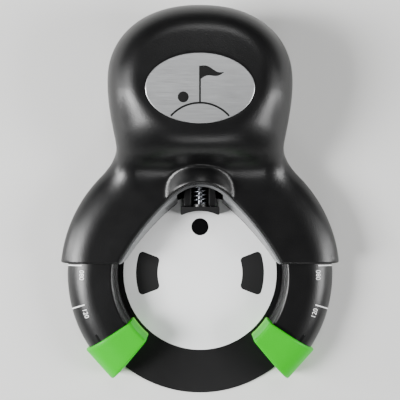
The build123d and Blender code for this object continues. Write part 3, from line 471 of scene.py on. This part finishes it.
def disc(x, y, radius, steps=40):
    """Round outline."""
    turns = [2 * pi * i / steps for i in range(steps)]
    return [(x + radius * cos(turn), y + radius * sin(turn)) for turn in turns]


def ribbon(centre_line, thickness):
    """Closed outline of a bent stroke."""
    line = [Vector(p) for p in centre_line]
    left, right = [], []
    for i, point in enumerate(line):
        along = (line[min(i + 1, len(line) - 1)] - line[max(i - 1, 0)]).normalized()
        across = Vector((-along.y, along.x)) * thickness / 2
        left.append(tuple(point + across))
        right.append(tuple(point - across))
    return right + left[::-1]


pole_half, pole_foot, pole_top = 0.5, -8.5, 12.5
flag_length, flag_foot, flag_taper, flag_wave = 13, 5.0, 3.6, 0.9
print_on_badge("badge_flag_pole", [(-pole_half, pole_foot), (pole_half, pole_foot),
                                   (pole_half, pole_top), (-pole_half, pole_top)])
flag = [(pole_half + flag_length * t, pole_top - flag_taper * t + flag_wave * sin(2 * pi * t))
        for t in np.linspace(0, 1, 14)]
flag += [(pole_half + flag_length * t, flag_foot + flag_taper * t + flag_wave * sin(2 * pi * t))
         for t in np.linspace(1, 0, 14)]
print_on_badge("badge_flag", flag)
print_on_badge("badge_ball", disc(-9.5, -5.2, 3.1))
green_radius, green_y = 22, -30.5
green_line = [(green_radius * sin(a), green_y + green_radius * cos(a)) for a in np.linspace(-0.85, 0.85, 30)]
print_on_badge("badge_green_line", ribbon(green_line, 1.1))

# ---- gate arms ---------------------------------------------------------------------------------
# Two curved black covers that slide round into the shoulders.  White lines and numbers printed
# near each outer edge give the mouth's width, in degrees, when that line is at the cover.
arm_paint = moulded("arm_black", (0.0030, 0.0030, 0.0032), 0.31, 0.6, 0.05, sheen=0.35)
for node in ("left_gate_arm", "right_gate_arm"):
    finish(node, arm_paint)

mark_paint = Paint("mark_white")
mark_paint.feed(Base_Color=mark_paint.mix(mark_paint.noise(0.5), (0.70, 0.70, 0.70), (0.85, 0.85, 0.85)),
                Roughness=0.5 + mark_paint.noise(1.0) * 0.1)
arm_inner, arm_outer, arm_top, arm_flat, arm_spring = 54.0, 85.0, 25.0, 67.0, 10.0
mark_lift, mark_half, digit_height, longest_edge = 0.10, 0.36, 4.2, 0.8


def on_arm(radius, lift):
    """Distance out and height of a spot just off a gate's rounded surface."""
    half, rise = arm_outer - arm_flat, arm_top - arm_spring
    across = min(max((radius - arm_flat) / half, 0), 1)
    up = sqrt(1 - across * across)
    away = Vector((across / half, up / rise)).normalized() * lift
    return radius + away.x, arm_spring + rise * up + away.y


def lay_on_arm(name, vertices, faces, side):
    """Printed patch: (radius, angle) points laid just above a gate's surface."""
    points = []
    for radius, angle in vertices:
        turn = radians(angle)
        out, up = on_arm(radius, mark_lift)
        points.append((side * out * cos(turn), out * sin(turn), up))
    upright = []
    for face in faces:
        a, b, c = (Vector(points[i]) for i in face[:3])
        upright.append(face if (b - a).cross(c - a).z > 0 else face[::-1])
    made = piece(name, points, upright, mark_paint, "right_gate" if side > 0 else "left_gate")


def mark_line(name, angle, side):
    """Slightly skewed line across an arm's outer slope."""
    steps = 14
    radii = arm_flat + (arm_outer - arm_flat) * np.sin(np.linspace(0.40, 1.30, steps))
    skew = np.linspace(0.35, -0.75, steps)
    vertices = [(radius, angle + lean + sign * degrees(mark_half / radius))
                for radius, lean in zip(radii, skew) for sign in (-1, 1)]
    faces = [(2 * i, 2 * i + 2, 2 * i + 3, 2 * i + 1) for i in range(steps - 1)]
    lay_on_arm(name, vertices, faces, side)


def mark_number(name, digits, middle, angle, side):
    """Small printed number along the arc, just in front of its line, its digits' tops inwards."""
    curve = bpy.data.curves.new(name + "_shape", "FONT")
    curve.body, curve.size, curve.align_x, curve.align_y = digits, digit_height, "LEFT", "CENTER"
    holder = bpy.data.objects.new(name + "_shape", curve)
    flat = bpy.data.meshes.new_from_object(holder)
    bpy.data.objects.remove(holder)
    shape = bmesh.new()
    shape.from_mesh(flat)
    bmesh.ops.triangulate(shape, faces=shape.faces)
    long_edges = [edge for edge in shape.edges if edge.calc_length() > longest_edge]
    bmesh.ops.subdivide_edges(shape, edges=long_edges, cuts=2)
    bmesh.ops.triangulate(shape, faces=shape.faces)
    length = max(v.co.x for v in shape.verts)
    vertices = []
    for vertex in shape.verts:
        along = vertex.co.x if side < 0 else length - vertex.co.x
        vertices.append((middle - vertex.co.y, angle - degrees(along / middle)))
    faces = [tuple(v.index for v in f.verts) for f in shape.faces]
    shape.free()
    lay_on_arm(name, vertices, faces, side)


for side, hand in ((-1, "left"), (1, "right")):
    mark_line(hand + "_mark_narrow_line", 4.8, side)
    mark_line(hand + "_mark_middle_line", -14.2, side)
    mark_number(hand + "_mark_narrow_number", "080", 73.8, 3.0, side)
    mark_number(hand + "_mark_middle_number", "120", 75.0, -15.6, side)

# ---- gate tips ---------------------------------------------------------------------------------
# Bright green translucent caps on the ends of the arms, with straight inner and outer ends and a
# soft front edge.  The low outer slope is painted paler green as a highlight, and the cap glows
# with painted light.
# Painted light: the cap emits its own green, painted highlight included, though it is no lamp.
tip_paint = Paint("tip_green", IOR=1.46, Subsurface_Weight=0.15, Subsurface_Radius=(0.002, 0.004, 0.001),
                  Specular_IOR_Level=0.2, Emission_Strength=0.55)
tip_height = tip_paint.node("ShaderNodeSeparateXYZ", sockets={"Vector": tip_paint.place()}, output="Z")
# Painted highlight: below this height, on the low outer slope, the cap turns paler green.
highlight_below, highlight_over = 15.0, 12.0
highlight_slope = ((highlight_below - tip_height) / highlight_over).clamp()
tip_cloud = tip_paint.noise(7.0, 2.0)
pale = (highlight_slope * (0.7 + tip_cloud * 0.4)).clamp()
green_and_highlight = tip_paint.mix(pale, (0.006, 0.30, 0.0), (0.20, 0.55, 0.10))
tip_paint.feed(Base_Color=green_and_highlight, Roughness=0.38 + tip_cloud * 0.1, Emission_Color=green_and_highlight)
tip_paint.bump(tip_paint.noise(0.8), 0.01)
tip_proud, tip_front, tip_back = 2.6, -50.2, -33.3      # degrees round the cup for the two ends
tip_inner_foot, tip_outer_foot, tip_round = 7.1, 1.5, 2


def tip_mesh(side):
    """Cap swept between two radial ends, its section following the arm at a small distance."""
    inner, outer, top = arm_inner - tip_proud, arm_outer + tip_proud, arm_top + tip_proud
    middle, half = (tip_front + tip_back) / 2, (tip_back - tip_front) / 2
    section = [(inner, tip_inner_foot)] + [(inner, z) for z in np.linspace(8, top - tip_round, 8)]
    section += [(inner + tip_round - tip_round * cos(a), top - tip_round + tip_round * sin(a))
                for a in np.linspace(0.2, pi / 2, 6)]
    section += [(r, top) for r in np.linspace(inner + 5, arm_flat, 5)]
    section += [(arm_flat + (outer - arm_flat) * sin(a), arm_spring + (top - arm_spring) * cos(a))
                for a in np.linspace(0.12, pi / 2, 16)]
    section += [(outer, z) for z in np.linspace(9, tip_outer_foot, 6)]
    centre = Vector((70.0, 8.0))
    slices = [(-1.0, 2.2), (-0.985, 1.1), (-0.95, 0.45), (-0.88, 0.1)]
    slices += [(share, 0.0) for share in np.linspace(-0.8, 0.8, 9)]
    slices += [(0.93, 0.05), (0.985, 0.3), (1.0, 0.7)]
    points, faces = [], []
    for share, inset in slices:
        turn = radians(middle + half * share)
        chord = cos(radians(half)) / cos(radians(half * share))
        for radius, height in section:
            away = Vector((radius, height)) - centre
            away *= max(1 - inset / max(away.length, 1e-6), 0)
            out, up = centre + away
            out *= chord if radius > 62 else 1
            up = max(up, tip_outer_foot if radius > 60 else tip_inner_foot)
            points.append((side * out * cos(turn), out * sin(turn), up))
    count = len(section)
    for i in range(len(slices) - 1):
        for j in range(count):
            k = (j + 1) % count
            faces.append((i * count + j, i * count + k, (i + 1) * count + k, (i + 1) * count + j))
    faces.append(tuple(range(count - 1, -1, -1)))
    faces.append(tuple((len(slices) - 1) * count + j for j in range(count)))
    if side < 0:
        faces = [face[::-1] for face in faces]
    return points, faces


for side, hand in ((-1, "left"), (1, "right")):
    points, faces = tip_mesh(side)
    tip = piece(hand + "_gate_tip_cap", points, faces, tip_paint, hand + "_gate")
    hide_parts(hand + "_gate_tip")

# ---- kicker ------------------------------------------------------------------------------------
# Moulded black nylon paddle with a hollow face that cups the ball, driven by a steel rod and core
# that a solenoid pulls and a coil spring returns.
paddle_paint = moulded("paddle_black", (0.005, 0.005, 0.0053), 0.36, 0.5, 0.02)
for node in ("kicker_paddle", "switch_knob"):
    finish(node, paddle_paint)


def metal(name, colour, roughness):
    """Drawn or plated metal with a little haze."""
    paint = Paint(name, Metallic=1.0)
    haze = paint.noise(1.5, 4.0)
    paint.feed(Base_Color=paint.mix(haze, tuple(0.85 * c for c in colour), colour),
               Roughness=roughness + haze * 0.15)
    paint.bump(paint.noise(0.3, 3.0), 0.006)
    return paint


spring_paint = metal("spring_steel", (0.20, 0.21, 0.23), 0.26)
rod_paint = metal("rod_steel", (0.16, 0.165, 0.18), 0.35)
steel_paint = metal("zinc_steel", (0.55, 0.56, 0.57), 0.35)
frame_paint = metal("blackened_steel", (0.035, 0.035, 0.038), 0.45)
finish("kicker_spring", spring_paint)
finish("plunger_rod", rod_paint)
finish("solenoid_frame", frame_paint)
for node in ("plunger_core", "battery_contacts", "battery_springs"):
    finish(node, steel_paint)

# ---- screws ------------------------------------------------------------------------------------
# Zinc-plated steel pan heads that hold the cover, the plate, the solenoid and the board, and one
# in each gate tip.
screw_paint = metal("screw_steel", (0.50, 0.50, 0.51), 0.3)
for node in ("cover_screws", "plate_screws", "solenoid_screws", "board_screws",
             "left_tip_screw", "right_tip_screw"):
    finish(node, screw_paint)

# ---- parts inside ------------------------------------------------------------------------------
# Hidden by the cover, and seen only when the part is taken apart: each still has its own finish.
inside = {
    "solenoid_bobbin": ("bobbin_nylon", (0.70, 0.68, 0.60), 0.45),
    "wire_sockets": ("socket_nylon", (0.74, 0.72, 0.65), 0.45),
    "sensor_board": ("sensor_board_mask", (0.02, 0.16, 0.06), 0.35),
    "control_board": ("control_board_mask", (0.02, 0.16, 0.06), 0.35),
    "power_capacitor": ("capacitor_sleeve", (0.03, 0.05, 0.18), 0.3),
    "drive_relay": ("relay_case", (0.04, 0.12, 0.40), 0.35),
    "battery_cells": ("cell_sleeve", (0.05, 0.05, 0.06), 0.28),
    "battery_leads": ("lead_red", (0.45, 0.03, 0.02), 0.5),
    "solenoid_leads": ("lead_dark_red", (0.35, 0.03, 0.02), 0.5),
    "sensor_cable": ("cable_grey", (0.28, 0.28, 0.29), 0.5),
}
for node, (name, colour, roughness) in inside.items():
    finish(node, moulded(name, colour, roughness, 0.8, 0.01))
winding_paint = metal("copper_wire", (0.80, 0.36, 0.18), 0.3)
turns = winding_paint.node("ShaderNodeTexWave", {"bands_direction": "Y"},
                           {"Vector": winding_paint.place(), "Scale": 0.5})
winding_paint.bump(turns, 0.15)
finish("solenoid_winding", winding_paint)
